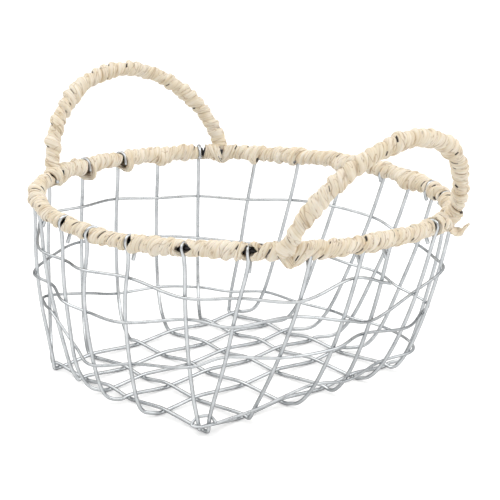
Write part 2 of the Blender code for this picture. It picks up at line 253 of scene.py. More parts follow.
for name, place, size, power, colour in lamp_table:
    lamp_data = bpy.data.lights.new(name, "AREA")
    lamp_data.size = size
    lamp_data.energy = power
    lamp_data.color = colour
    lamp = bpy.data.objects.new(name, lamp_data)
    lamp.location = place
    aim = Vector((0.0, 0.0, rim_height / 2)) - lamp.location
    lamp.rotation_euler = aim.to_track_quat("-Z", "Y").to_euler()
    scene.collection.objects.link(lamp)


# The rim hoop: one thick dark annealed wire, bent to the oval and closed behind the left handle.
# It shows only in the small windows beside the wire hooks, where the raffia parts round them.
hoop_diameter = 0.0028
hoop_radius = hoop_diameter / 2
wire_sides = 12
upright_share = 0.9
cloud_detail = 4.0
mark_detail = 2.0
cloud_limits = (0.3, 0.7)
mark_depth = 0.0001
# Painted shade: how far in from the wires' outline their colour is darkened by the direction of view
painted_edge_blend = 0.52


def carried_normals(path, tangents, first):
    """Carries a first normal along the path without twist."""
    normals = np.zeros_like(path)
    last = first
    for index, tangent in enumerate(tangents):
        last = unit(last - tangent * (last @ tangent))
        normals[index] = last
    return normals


def add_piece(name, mesh, material, nodes_replaced):
    """Links a finished mesh as one smooth piece of the basket."""
    for face in mesh.faces:
        face.smooth = True
    data = bpy.data.meshes.new(name)
    mesh.to_mesh(data)
    mesh.free()
    data.materials.append(material)
    piece = bpy.data.objects.new(name, data)
    scene.collection.objects.link(piece)
    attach(piece, "root")
    if nodes_replaced:
        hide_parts(*nodes_replaced)
    return piece


def sweep_rings(mesh, rings, closed):
    """Skins rings of points, and closes the two ends unless the rings join up."""
    rows = [[mesh.verts.new(corner) for corner in ring] for ring in rings]
    pairs = list(zip(rows, rows[1:]))
    if closed:
        pairs.append((rows[-1], rows[0]))
    for near, far in pairs:
        for side in range(len(near)):
            after = (side + 1) % len(near)
            mesh.faces.new((near[side], near[after], far[after], far[side]))
    if not closed:
        mesh.faces.new(rows[0][::-1])
        mesh.faces.new(rows[-1])


def draw_wire(mesh, path, radius, closed=False, end_round=0.35):
    """Sweeps a round wire along a path, with slightly rounded cut ends."""
    path = np.asarray(path)
    tangents = directions(path, closed)
    first = up if abs(tangents[0] @ up) < upright_share else np.array((1.0, 0.0, 0.0))
    normals = carried_normals(path, tangents, first)
    turns = np.arange(wire_sides) * 2 * math.pi / wire_sides
    stations = [(point, tangent, normal, 1.0) for point, tangent, normal in zip(path, tangents, normals)]
    if not closed:
        nose = radius * end_round
        start = (path[0] - tangents[0] * nose, tangents[0], normals[0], 1 - end_round)
        end = (path[-1] + tangents[-1] * nose, tangents[-1], normals[-1], 1 - end_round)
        stations = [start] + stations + [end]
    rings = []
    for point, tangent, normal, share in stations:
        side = np.cross(tangent, normal)
        rings.append([
            point + radius * share * (math.cos(a) * normal + math.sin(a) * side) for a in turns
        ])
    sweep_rings(mesh, rings, closed)


def socket_group(name, inputs, outputs):
    """Starts a shader node group with float inputs and the outputs named."""
    group = bpy.data.node_groups.new(name, "ShaderNodeTree")
    for label, value in inputs:
        socket = group.interface.new_socket(label, in_out="INPUT", socket_type="NodeSocketFloat")
        socket.default_value = value
    for label, kind in outputs:
        group.interface.new_socket(label, in_out="OUTPUT", socket_type=kind)
    entry = group.nodes.new("NodeGroupInput")
    leave = group.nodes.new("NodeGroupOutput")
    return group, entry, leave


def ramp_node(tree, source, stops):
    node = tree.nodes.new("ShaderNodeValToRGB")
    ramp = node.color_ramp
    while len(ramp.elements) < len(stops):
        ramp.elements.new(1.0)
    for element, (place, colour) in zip(ramp.elements, stops):
        element.position = place
        element.color = (*colour, 1.0)
    tree.links.new(source, node.inputs["Fac"])
    return node.outputs["Color"]


def noise_node(tree, vector, scale, detail):
    node = tree.nodes.new("ShaderNodeTexNoise")
    for label, value in (("Vector", vector), ("Scale", scale), ("Detail", detail)):
        feed(tree, node.inputs[label], value)
    return node.outputs["Fac"]


def mix_node(tree, blend, factor, first, second):
    node = tree.nodes.new("ShaderNodeMix")
    node.data_type = "RGBA"
    node.blend_type = blend
    for label, value in (("Factor", factor), ("A", first), ("B", second)):
        feed(tree, node.inputs[label], value)
    return node.outputs["Result"]


def relief_node(tree, height, strength, depth):
    node = tree.nodes.new("ShaderNodeBump")
    for label, value in (("Strength", strength), ("Distance", depth), ("Height", height)):
        feed(tree, node.inputs[label], value)
    return node.outputs["Normal"]


def metal_skin_group():
    """Cloudy patches and fine drawing marks on wire, as a mask and a height."""
    outputs = (("Cloud", "NodeSocketFloat"), ("Marks", "NodeSocketFloat"))
    group, entry, leave = socket_group("wire_skin", (("Cloud Scale", 180.0), ("Mark Scale", 1500.0)), outputs)
    place = group.nodes.new("ShaderNodeTexCoord").outputs["Object"]
    cloud = noise_node(group, place, entry.outputs["Cloud Scale"], cloud_detail)
    marks = noise_node(group, place, entry.outputs["Mark Scale"], mark_detail)
    group.links.new(cloud, leave.inputs["Cloud"])
    group.links.new(marks, leave.inputs["Marks"])
    return group


wire_skin = metal_skin_group()


def wire_material(name, stops, rough_range, metallic, bump, cloud_scale, painted_edge_shade):
    """Drawn wire with cloudy patches and painted shade where its round sides turn away from the view."""
    material = bpy.data.materials.new(name)
    material.use_nodes = True
    tree = material.node_tree
    shader = tree.nodes["Principled BSDF"]
    shader.inputs["Metallic"].default_value = metallic
    skin = tree.nodes.new("ShaderNodeGroup")
    skin.node_tree = wire_skin
    skin.inputs["Cloud Scale"].default_value = cloud_scale
    # Painted shade: the base colour is darkened towards the wire's outline by the direction of view
    facing = tree.nodes.new("ShaderNodeLayerWeight")
    facing.inputs["Blend"].default_value = painted_edge_blend
    tint = ramp_node(tree, skin.outputs["Cloud"], stops)
    painted_edge_tint = mix_node(tree, "MULTIPLY", facing.outputs["Facing"], tint, (*painted_edge_shade, 1.0))
    gloss = range_node(tree, skin.outputs["Cloud"], cloud_limits, rough_range)
    relief = relief_node(tree, skin.outputs["Marks"], bump, mark_depth)
    tree.links.new(painted_edge_tint, shader.inputs["Base Color"])
    tree.links.new(gloss, shader.inputs["Roughness"])
    tree.links.new(relief, shader.inputs["Normal"])
    return material


dark_wire = wire_material(
    "dark_core_wire",
    stops=((0.35, (0.018, 0.017, 0.018)), (0.65, (0.060, 0.056, 0.056))),
    rough_range=(0.38, 0.60), metallic=0.55, bump=0.4, cloud_scale=260.0, painted_edge_shade=(0.8, 0.8, 0.8),
)
mesh = bmesh.new()
draw_wire(mesh, rim_path, hoop_radius, closed=True)
add_piece("rim_core_hoop", mesh, dark_wire, ["rim_hoop"])


# The twelve base wires: soft galvanised wire, six along and six across, woven over and under each other.
# Both ends of each turn up as ribs, hook over the hoop and hang down inside as a cut tail. Scratch programs
# worked out their places, hook angles and reach shares from points read off the photo.
base_wire_diameter = 0.0024
rib_radius = base_wire_diameter / 2
fit_gap = 0.0003
tail_start = 0.0045
hook_tail = 0.0105
tail_lean = math.radians(22)
tail_least_share = 0.85
tail_spread_share = 0.3
tail_rates = (3.7, 5.3)
tail_seed = 0.4
hook_lead = 0.0080
hook_steps = 8
loose_top = 0.0046
loose_side = 0.0035
length_wire_shares = (-0.71, -0.465, -0.165, 0.115, 0.37, 0.60)
cross_wire_shares = (-0.68, -0.435, -0.25, -0.075, 0.17, 0.485)
base_overrun_share = 0.03
short_overrun_share = 0.006
weave_level_share = 0.026
right_hook_angles = (-50.1, -35.2, -19.5, -8.2, 15.2, 33.0)
left_hook_angles = (-155.2, -171.2, 172.3, 155.8, 142.3, 124.8)
front_hook_angles = (-141.8, -131.0, -118.5, -107.3, -90.0, -68.6)
back_hook_angles = (108.9, 88.6, 71.0, 60.6, 50.6, 42.0)
rib_height_shares = (0.015, 0.07, 0.18, 0.40, 0.68)
right_reach_shares = (0.10, 0.22, 0.38, 0.60, 0.81)
left_reach_shares = (0.44, 0.78, 1.00, 1.12, 1.08)
front_reach_shares = (0.40, 0.60, 0.76, 0.97, 1.10)
back_reach_shares = (0.20, 0.32, 0.45, 0.62, 0.83)
own_reach_shares = {
    ("front", 0): (0.00, 0.08, 0.28, 0.70, 0.91),
    ("front", 1): (0.05, 0.20, 0.34, 0.60, 0.85),
    ("front", 2): (0.25, 0.46, 0.68, 0.80, 0.94),
    ("front", 5): (0.00, 0.12, 0.34, 0.63, 0.83),
    ("right", 0): (0.00, 0.02, 0.15, 0.45, 0.71),
    ("right", 1): (0.04, 0.10, 0.25, 0.52, 0.80),
    ("left", 5): (0.00, 0.03, 0.14, 0.42, 0.67),
}
short_base_ends = (("front", 0), ("front", 5), ("right", 0))
long_tails = (("back", 2), ("back", 4))
hidden_tails = (("front", 3), ("front", 5))
hook_slants = {
    ("front", 2): 0.0025, ("front", 3): 0.0060, ("front", 4): 0.0010, ("right", 4): -0.0020,
    ("back", 5): 0.0000, ("back", 4): 0.0010, ("back", 3): 0.0040, ("left", 4): 0.0000,
    ("left", 2): -0.0020, ("left", 1): -0.0020, ("left", 0): -0.0010,
}
bend_rounds = 3
bend_share = 0.25
weave_rise = rib_radius + fit_gap / 2
base_level = rib_radius + weave_rise

galvanised = wire_material(
    "galvanised_wire",
    stops=((0.30, (0.64, 0.665, 0.685)), (0.70, (0.87, 0.895, 0.91))),
    rough_range=(0.24, 0.36), metallic=1.0, bump=0.25, cloud_scale=140.0, painted_edge_shade=(0.17, 0.18, 0.19),
)


def round_bends(path, rounds=bend_rounds):
    """Rounds the corners of a wire route, as a soft wire bends, and keeps both ends."""
    path = np.asarray(path)
    for _ in range(rounds):
        near = path[:-1] * (1 - bend_share) + path[1:] * bend_share
        far = path[:-1] * bend_share + path[1:] * (1 - bend_share)
        between = np.stack((near, far), axis=1).reshape(-1, 3)
        path = np.vstack((path[:1], between[1:-1], path[-1:]))
    return path


def hook_over(at, tail, slant):
    """Up the outside of the hoop, over it and down to the cut tail; an open hook is loose and slants."""
    point, _, outward, upward = rim_track.frame(at)
    tight = hoop_radius + fit_gap + rib_radius
    side, top = (tight, tight) if slant is None else (loose_side, loose_top)
    line = [point + outward * tight - upward * hook_lead]
    for step in range(hook_steps + 1):
        turn = math.pi * step / hook_steps
        point, _, outward, upward = rim_track.frame(at + (slant or 0.0) * step / hook_steps)
        line.append(point + side * math.cos(turn) * outward + top * math.sin(turn) * upward)
    line.append(line[-1] - upward * tail_start)
    if tail:
        level = unit(outward * (1.0, 1.0, 0.0))
        line.append(line[-1] + tail * (level * math.sin(tail_lean) - up * math.cos(tail_lean)))
    return line


def make_rib(start, reach_shares, degrees, tail, slant):
    hook = hook_over(rim_distance(degrees), tail, slant)
    top = hook[1]
    line = []
    for height, reach in zip(rib_height_shares, reach_shares):
        point = start + (top - start) * reach
        point[2] = start[2] + (top[2] - start[2]) * height
        line.append(point)
    return line + hook


def weave_run(places, fixed, along, high_first):
    """Base stretch of a wire: level for a moment over or under each wire that it crosses."""
    half_level = weave_level_share * rim_half_length
    line = []
    for count, place in enumerate(places):
        high = (count % 2 == 0) == high_first
        for shift in (-half_level, half_level):
            point = np.zeros(3)
            point[along] = place + shift
            point[1 - along] = fixed
            point[2] = base_level + (weave_rise if high else -weave_rise)
            line.append(point)
    return line


length_places = [rim_centre[1] + share * rim_half_length for share in length_wire_shares]
cross_places = [rim_centre[0] + share * rim_half_length for share in cross_wire_shares]
wall_sides = {
    "right": (right_hook_angles, right_reach_shares, hook_tail),
    "left": (left_hook_angles, left_reach_shares, 0.0),
    "front": (front_hook_angles, front_reach_shares, hook_tail),
    "back": (back_hook_angles, back_reach_shares, 0.0),
}
wire_sets = (
    ("length_wire", 0, length_places, cross_places, "left", "right"),
    ("cross_wire", 1, cross_places, length_places, "front", "back"),
)
ribs = {}
for name, along, fixed_places, places, low, high in wire_sets:
    for index, fixed in enumerate(fixed_places):
        run = weave_run(places, fixed, along, (index + along) % 2 == 0)
        halves = []
        for point, sign, side in ((run[0], -1, low), (run[-1], 1, high)):
            angles, reach, tail = wall_sides[side]
            overrun = short_overrun_share if (side, index) in short_base_ends else base_overrun_share
            if (side, index) in long_tails:
                tail = hook_tail / 2
            if (side, index) in hidden_tails:
                tail = 0.0
            chance = noise.noise(Vector((index * tail_rates[0], sign * tail_rates[1] + along, tail_seed)))
            tail *= tail_least_share + tail_spread_share * chance
            end = point.copy()
            end[along] += sign * overrun * rim_half_length
            end[2] = base_level
            reach = own_reach_shares.get((side, index), reach)
            slant = hook_slants.get((side, index))
            rib = make_rib(end, reach, angles[index], tail, slant)
            top = rib[len(rib_height_shares) + 1][2]
            ribs[side, index] = round_bends([point, end] + rib), top
            halves.append([end] + rib)
        path = round_bends(halves[0][::-1] + run + halves[1])
        mesh = bmesh.new()
        draw_wire(mesh, path, rib_radius)
        node = f"{name}_{index + 1}"
        add_piece(f"{node}_drawn", mesh, galvanised, [node])


# The weaver: one thinner galvanised wire that spirals three times round the wall, outside one rib and
# inside the next. It starts with a cut end at the right front and ends in a small curl at the front corner.
# Each pair of its heights is a count of ribs passed and a share of the rim's height.
weaver_diameter = 0.0019
weaver_radius = weaver_diameter / 2
weaver_gap = 0.0002
weaver_tail = 0.0060
weaver_samples = 8
weaver_height_shares = (
    (0, 0.77), (1, 0.81), (2, 0.75), (4, 0.75), (5, 0.81), (6, 0.80), (8, 0.77), (9, 0.795),
    (10, 0.785), (12, 0.75), (14, 0.705), (17, 0.735), (19, 0.70), (20, 0.66), (22, 0.65), (24, 0.54),
    (26, 0.635), (27, 0.61), (28, 0.62), (29, 0.565), (30, 0.545), (31, 0.56), (35, 0.54), (36, 0.49),
    (38, 0.44), (43, 0.43), (45, 0.38), (46, 0.36), (48, 0.42), (51, 0.42), (52, 0.37), (54, 0.24),
    (55, 0.27), (56, 0.41), (58, 0.31), (60, 0.18), (62, 0.13), (67, 0.14), (68, 0.15), (71, 0.12),
    (73, 0.14), (74, 0.09), (75, 0.04), (76, 0.03),
)
weaver_skips = (25, 50, 75, 76)
knot_shares = (0.036, 0.064, 0.070, 0.050)
knot_reach = 0.0042
rib_order = [("right", index) for index in (3, 2, 1, 0)]
rib_order += [("front", index) for index in (5, 4, 3, 2, 1, 0)]
rib_order += [("left", index) for index in range(6)]
rib_order += [("back", index) for index in range(6)]
rib_order += [("right", 5), ("right", 4)]


def rib_at(rib, hook_level, share):
    """Point and direction of a rib at a share of its height."""
    top = int(np.argmax(rib[:, 2]))
    heights = np.maximum.accumulate(rib[:top, 2])
    at = base_level + share * (hook_level - base_level)
    point = np.array([np.interp(at, heights, rib[:top, axis]) for axis in range(3)])
    index = int(np.clip(np.searchsorted(heights, at), 2, top - 2))
    return point, unit(rib[index + 1] - rib[index - 2])


def smooth_through(points, samples):
    """Curve through every point, drawn like a springy wire."""
    padded = np.vstack((2 * points[0] - points[1], points, 2 * points[-1] - points[-2]))
    line = []
    for index in range(1, len(padded) - 2):
        before, near, far, after = padded[index - 1:index + 3]
        for step in range(samples):
            t = step / samples
            line.append(0.5 * (
                2 * near + (far - before) * t + (2 * before - 5 * near + 4 * far - after) * t ** 2
                + (3 * near - before - 3 * far + after) * t ** 3
            ))
    line.append(points[-1])
    return np.array(line)


counts, shares = zip(*weaver_height_shares)
passes = range(counts[-1] + 1)
heights = np.interp(passes, counts, shares)
centres = [rib_at(*ribs[rib_order[index % len(rib_order)]], heights[index]) for index in passes]
offset = rib_radius + weaver_radius + weaver_gap
weaver_line = []
for index in passes:
    point, direction = centres[index]
    before = centres[max(index - 1, 0)][0]
    after = centres[min(index + 1, len(centres) - 1)][0]
    outward = unit(np.cross(direction, unit(after - before)))
    if outward @ (point - rim_centre) < 0:
        outward = -outward
    skips = sum(index >= skip for skip in weaver_skips)
    side = 1 if (index + skips) % 2 == 0 else -1
    weaver_line.append(point + outward * offset * side)
start = weaver_line[0] + unit(weaver_line[0] - weaver_line[1]) * weaver_tail
onward = unit(weaver_line[-1] - weaver_line[-2])
corner = [ribs["front", 5], ribs["front", 5], ribs["right", 0], ribs["right", 0]]
knot = [rib_at(*rib, share)[0] for rib, share in zip(corner, knot_shares)]
knot[0] += onward * knot_reach
knot[1] -= outward * offset
knot[2] -= outward * offset
knot[3] += outward * offset - onward * knot_reach
weaver_path = smooth_through(np.array([start] + weaver_line + knot), weaver_samples)
mesh = bmesh.new()
draw_wire(mesh, weaver_path, weaver_radius)
add_piece("weaver_wire_drawn", mesh, galvanised, ["weaver_wire"])


# The handle wires: two arches of the dark core wire that lean outward. Each end hooks under the hoop from
# outside and is bound there with raffia, so the handles stand up by themselves and don't swing. Rise, lean,
# roundness and foot angles are rounded results of a fit to the photo.
left_handle_rise = 0.0678
right_handle_rise = 0.0718
left_handle_lean = math.radians(19.4)
right_handle_lean = math.radians(24.8)
handle_roundness = 1.90
handle_points = 66
handle_bend_rounds = 2
foot_steps = 4
right_foot_angles = (-41.5, 24.9)
left_foot_angles = (-159.3, 135.2)


def make_handle(name, node, foot_angles, height, lean, side):
    feet = [rim_distance(degrees) for degrees in foot_angles]
    hooks = []
    for at in feet:
        point, _, outward, upward = rim_track.frame(at)
        reach = (2 * hoop_radius + fit_gap) / math.cos(math.pi / foot_steps / 2)
        turns = [-math.pi * step / foot_steps for step in range(foot_steps + 1)]
        hook = [point + reach * (math.cos(turn) * outward + math.sin(turn) * upward) for turn in turns]
        hook.append(hook[-1] + upward * hoop_radius)
        hooks.append(hook)
    low, high = hooks[0][0], hooks[1][0]
    middle, half = (low + high) / 2, (high - low) / 2
    rise = up * math.cos(lean) + np.array((side, 0.0, 0.0)) * math.sin(lean)
    power = 2 / handle_roundness
    arch = []
    for step in range(1, handle_points):
        turn = math.pi * step / handle_points
        across = -math.copysign(abs(math.cos(turn)) ** power, math.cos(turn))
        arch.append(middle + half * across + rise * height * math.sin(turn) ** power)
    path = round_bends(hooks[0][::-1] + arch + hooks[1], handle_bend_rounds)
    mesh = bmesh.new()
    draw_wire(mesh, path, hoop_radius)
    add_piece(name, mesh, dark_wire, [node])
    arch = np.array([low] + arch + [high])
    tangents = directions(arch)
    tangents[0], tangents[-1] = rise, -rise
    outward = np.tile(unit(np.cross(half, rise)), (len(arch), 1))
    return feet, Track(arch, tangents, outward)


left_feet, left_arch = make_handle(
    "handle_core_left", "handle_wire_left", left_foot_angles, left_handle_rise, left_handle_lean, -1
)
right_feet, right_arch = make_handle(
    "handle_core_right", "handle_wire_right", right_foot_angles, right_handle_rise, right_handle_lean, 1
)


# The spare end of the left handle wire is wound twice round the hoop beside its back foot, where the
# raffia leaves it bare.
spare_radius = 0.0009
spare_turns = 2.2
spare_pitch = 0.0026
spare_shift = 0.0052
spare_points = 60

spare_start = rim_distance(left_hook_angles[4]) - spare_shift
spare_reach = hoop_radius + spare_radius + fit_gap / 2
spare_line = []
for step in range(spare_points + 1):
    lap = spare_turns * step / spare_points
    point, _, outward, upward = rim_track.frame(spare_start + spare_pitch * lap)
    turn = 2 * math.pi * lap
    spare_line.append(point + spare_reach * (math.cos(turn) * outward + math.sin(turn) * upward))
mesh = bmesh.new()
draw_wire(mesh, spare_line, spare_radius)
add_piece("handle_wire_spare_turns", mesh, dark_wire, [])


# The raffia: flat strips of palm leaf, damp when wound, so that they crease and shrink tight. Each turn
# covers the edge of the one before. Pleats are in the mesh. Pale fibres and ochre fold lines are in the
# material, and so are painted shade in the pleat grooves and along the strip edges, and a painted shadow
# in the narrow gaps between turns.
raffia_thickness = 0.0005
wrap_edge = 0.0031
wrap_crown = 0.0023
crest_share = -0.40
crown_fullness = 1.8
crown_flatness = 0.8
pleat_size = 0.0009
pleat_gain = 1.7
pleat_drop = 0.25
wrinkle_share = 0.12
wrinkle_seed = 9
# How fast pleats and wrinkles change along and across a strip
pleat_rates = (40, 1.3)
wrinkle_rates = (80, 5.0)
# Width of the painted shade along each pleat groove
groove_shade_width = 0.035
turn_lean = 0.0013
near_side = 0.4
end_laps = 0.6
end_ease = 0.3
# Most change, rate from turn to turn, and place in the noise
turn_changes = {"lean": (1.1, 0.5, 3.1), "crown": (0.7, 1.15, 7.7), "width": (0.4, 1.1, 5.5)}
strip_points = 21
strip_unit = 0.008
strip_shift = 7.3
turn_stations = 24
grain_detail = 0.7
fold_line_limits = (0.012, 0.0)
# Where painted shade darkens a strip along its edges, in the groove under the next turn
strip_edge_shade_limits = (0.430, 0.490)
# Painted shadow in the narrow gaps between turns: how often it shows along a strip, and where across it
slit_shadow_rate = 0.7
slit_shadow_detail = 1.0
slit_shadow_limits = (0.59, 0.64)
near_slit_shadow_limits = (0.15, 0.10)
far_slit_shadow_limits = (0.72, 0.78)
far_slit_shadow_gain = 16.0
stain_scale = 90.0
stain_detail = 2.0
raffia_tones = ((0.30, (0.73, 0.625, 0.465)), (0.44, (0.82, 0.73, 0.59)), (0.62, (0.85, 0.775, 0.655)))
stain_tones = ((0.38, (0.93, 0.90, 0.84)), (0.60, (1.0, 1.0, 1.0)))
# Dark ochre of the fold lines, and of the painted shade in the grooves and at the strip edges
fold_and_groove_shade_colour = (0.30, 0.17, 0.07, 1.0)
fold_and_groove_shade_strength = 0.62
# Near-black colour of the painted shadow in the gaps between turns
slit_shadow_colour = (0.045, 0.035, 0.030, 1.0)
raffia_roughness = 0.58
raffia_specular = 0.20
raffia_glow = 0.10
raffia_glow_colour = (0.9, 0.6, 0.3)
raffia_glow_depth = 0.0006
grain_strength = 0.4
grain_depth = 0.0003


def raffia_group():
    """Tone, ochre fold lines with painted shade in the grooves and at the strip edges, painted shadow
    in the gaps between turns, stains and height of a raffia strip. The strip map holds the place along
    and across the strip, and the pleat map holds where its grooves take painted shade and how much more
    often its wrap shows painted gap shadows."""
    outputs = [(label, "NodeSocketFloat") for label in ("Tone", "Fold And Shade", "Slit Shadow", "Stain", "Height")]
    inputs = (("Fibres", 8.0), ("Folds", 2.0), ("Run", 0.4))
    group, entry, leave = socket_group("raffia_grain", inputs, outputs)
    axes = []
    for label in ("strip", "pleat"):
        place = group.nodes.new("ShaderNodeUVMap")
        place.uv_map = label
        split = group.nodes.new("ShaderNodeSeparateXYZ")
        group.links.new(place.outputs["UV"], split.inputs["Vector"])
        axes += [split.outputs["X"], split.outputs["Y"]]
    along, across, groove_shade, slit_shadow_share = axes
    textures = []
    for socket in ("Fibres", "Folds"):
        join = group.nodes.new("ShaderNodeCombineXYZ")
        feed(group, join.inputs["X"], math_node(group, "MULTIPLY", along, entry.outputs["Run"]))
        feed(group, join.inputs["Y"], math_node(group, "MULTIPLY", across, entry.outputs[socket]))
        textures.append(noise_node(group, join.outputs["Vector"], 1.0, grain_detail))
    fibre, fold = textures
    # Ochre fold lines, with painted shade in the pleat grooves and along the strip edges
    fold_and_shade_mask = groove_shade
    for source, limits in ((fold, fold_line_limits), (across, strip_edge_shade_limits)):
        distance = math_node(group, "ABSOLUTE", math_node(group, "SUBTRACT", source, 0.5))
        fold_and_shade_mask = math_node(group, "MAXIMUM", fold_and_shade_mask, range_node(group, distance, limits))
    # Painted shadow in the narrow gaps between turns, in patches along the strip near both edges
    gate = group.nodes.new("ShaderNodeTexNoise")
    gate.noise_dimensions = "1D"
    for label, value in (("W", along), ("Scale", slit_shadow_rate), ("Detail", slit_shadow_detail)):
        feed(group, gate.inputs[label], value)
    opened = range_node(group, math_node(group, "ADD", gate.outputs["Fac"], slit_shadow_share), slit_shadow_limits)
    far_most = math_node(group, "MULTIPLY", slit_shadow_share, far_slit_shadow_gain)
    near_edge = range_node(group, across, near_slit_shadow_limits)
    far_edge = range_node(group, across, far_slit_shadow_limits, (0.0, far_most))
    slit_shadow = math_node(group, "MULTIPLY", opened, math_node(group, "MAXIMUM", far_edge, near_edge))
    spot = group.nodes.new("ShaderNodeTexCoord")
    stain = noise_node(group, spot.outputs["Object"], stain_scale, stain_detail)
    height = math_node(group, "SUBTRACT", fibre, fold_and_shade_mask)
    results = (("Tone", fibre), ("Fold And Shade", fold_and_shade_mask), ("Slit Shadow", slit_shadow), ("Stain", stain), ("Height", height))
    for label, value in results:
        group.links.new(value, leave.inputs[label])
    return group


raffia_grain = raffia_group()


def raffia_material(name):
    material = bpy.data.materials.new(name)
    material.use_nodes = True
    tree = material.node_tree
    shader = tree.nodes["Principled BSDF"]
    shader.inputs["Roughness"].default_value = raffia_roughness
    shader.inputs["Specular IOR Level"].default_value = raffia_specular
    shader.inputs["Subsurface Weight"].default_value = raffia_glow
    shader.inputs["Subsurface Radius"].default_value = raffia_glow_colour
    shader.inputs["Subsurface Scale"].default_value = raffia_glow_depth
    grain = tree.nodes.new("ShaderNodeGroup")
    grain.node_tree = raffia_grain
    tone = ramp_node(tree, grain.outputs["Tone"], raffia_tones)
    patch = ramp_node(tree, grain.outputs["Stain"], stain_tones)
    # Dark ochre for the fold lines, and painted shade in the grooves and at the strip edges
    fold_and_shade_share = math_node(tree, "MULTIPLY", grain.outputs["Fold And Shade"], fold_and_groove_shade_strength)
    patched = mix_node(tree, "MULTIPLY", 1.0, tone, patch)
    fold_shaded = mix_node(tree, "MIX", fold_and_shade_share, patched, fold_and_groove_shade_colour)
    # Painted shadow in the narrow gaps between turns
    slit_shaded = mix_node(tree, "MIX", grain.outputs["Slit Shadow"], fold_shaded, slit_shadow_colour)
    relief = relief_node(tree, grain.outputs["Height"], grain_strength, grain_depth)
    tree.links.new(slit_shaded, shader.inputs["Base Color"])
    tree.links.new(relief, shader.inputs["Normal"])
    return material


raffia = raffia_material("raffia_strip")


def crumple(size, *place):
    """Smooth irregularity of hand-wound raffia, up to about this size."""
    return size * noise.noise(Vector(place))


def creases(run, across, rates, seed):
    """Smooth irregularity at each place along and across a strip."""
    return np.array([
        [crumple(1.0, along * rates[0], share * rates[1], seed) for share in across] for along in run
    ])


def turn_change(kind, lap, seed):
    """How much the lean, crown or width of this turn differs from the usual one, as a factor."""
    size, rate, place = turn_changes[kind]
    return 1 + crumple(size, lap * rate, seed, place)


def strip_mesh():
    mesh = bmesh.new()
    mesh.loops.layers.uv.new("strip")
    mesh.loops.layers.uv.new("pleat")
    return mesh


def lay_strip(mesh, track, stations, seed, slit_shadow_share=0.0):
    """Lays a raffia strip round a track. A station holds its distance, turn, radius at the edges, crown,
    half width, slope, and how far it may reach back and on along the track."""
    at, turn, edge, crown, half, slope, near, far = np.array(stations).T[:, :, None]
    across = np.linspace(-1.0, 1.0, strip_points)[None, :]
    place = np.clip(at + across * half * np.cos(slope), near, far)
    angle = turn - across * half * np.sin(slope) / (edge + crown)
    step = np.hypot(np.diff(at[:, 0]), np.diff(turn[:, 0]) * (edge[1:, 0] + crown[1:, 0]))
    run = np.concatenate(((0.0,), np.cumsum(step)))
    crest = (across - crest_share) / np.where(across > crest_share, 1 - crest_share, 1 + crest_share)
    dome = np.broadcast_to((1 - np.abs(crest) ** crown_fullness) ** crown_flatness, place.shape)
    pleat = creases(run, across[0], pleat_rates, seed)
    wrinkle = creases(run, across[0], wrinkle_rates, seed + wrinkle_seed)
    # Where a pleat groove takes painted shade in the material
    fold = np.exp(-(pleat / groove_shade_width) ** 2)
    ripple = np.abs(pleat) * pleat_gain - pleat_drop + wrinkle_share * wrinkle
    reach = edge + crown * dome + pleat_size * ripple * dome
    point, _, outward, upward = track.frame(place)
    spoke = np.cos(angle)[..., None] * outward + np.sin(angle)[..., None] * upward
    top = point + spoke * reach[..., None]
    bottom = top - spoke * raffia_thickness
    rings = np.concatenate((top, bottom[:, ::-2]), axis=1)
    count = len(mesh.verts)
    sweep_rings(mesh, rings, False)
    mesh.verts.ensure_lookup_table()
    # The pleat map carries the painted groove shade and how often the painted gap shadows show
    strip_uv, groove_and_gap_shade_uv = (mesh.loops.layers.uv[name] for name in ("strip", "pleat"))
    columns = list(range(strip_points)) + list(range(strip_points))[::-2]
    for row, along in enumerate(run):
        for index, column in enumerate(columns):
            for loop in mesh.verts[count + row * len(columns) + index].link_loops:
                loop[strip_uv].uv = (along / strip_unit + seed * strip_shift, column / (strip_points - 1))
                loop[groove_and_gap_shade_uv].uv = (fold[row, column], slit_shadow_share)


def wind(start, end, turn, pitch, half, seed, facing=near_side, lean_most=turn_lean):
    """Stations of close turns between two distances; each turn bulges, leans and narrows by itself."""
    turns = max(2, round((end - start) / pitch) + 1)
    steps = turns * turn_stations
    slope = math.atan(pitch / (2 * math.pi * (wrap_edge + wrap_crown)))
    stations = []
    for step in range(steps + 1):
        lap = step / turn_stations
        share = min(1.0, max(0.0, (lap - end_laps) / (turns - 2 * end_laps)))
        angle = turn + 2 * math.pi * lap
        ease = math.sin(math.pi * share) ** end_ease
        lean = lean_most * turn_change("lean", lap, seed)
        at = start + (end - start) * share + lean * math.sin(angle - facing) * ease
        crown = wrap_crown * turn_change("crown", lap, seed)
        width = half * turn_change("width", lap, seed)
        skew = lean * math.cos(angle - facing) / (wrap_edge + wrap_crown)
        stations.append((at, angle, wrap_edge, crown, width, slope + skew))
    return stations, turn + 2 * math.pi * turns


# The rim wraps: a strip of raffia for each stretch between two handle feet. It is wound tightly between
# the open hooks, parts at each of them to a dark window, and binds the far hooks' cut tails in a lump.
# The turns of a wrap slant most on the side that the photo shows. The painted shadows in the gaps
# between turns are commoner at front and right.
rim_pitch = 0.0066
rim_strip_half = 0.0046
hook_clear = 0.0014
foot_gap = 0.0016
least_width = 0.0005
window_fullness = 0.7
under_side_degrees = -110
no_window = (0.0, 0.0, 0.0, 0, 1)
rim_seed = 0.37
rim_seed_step = 11
far_side = math.pi - near_side
# The side on which the turns of a wrap slant most, and how far they lean
leans = {
    "rim_wrap_left": (far_side, 0.0013), "rim_wrap_front": (near_side, 0.0014),
    "rim_wrap_right": (near_side, 0.0024), "rim_wrap_back": (far_side, 0.0013),
}
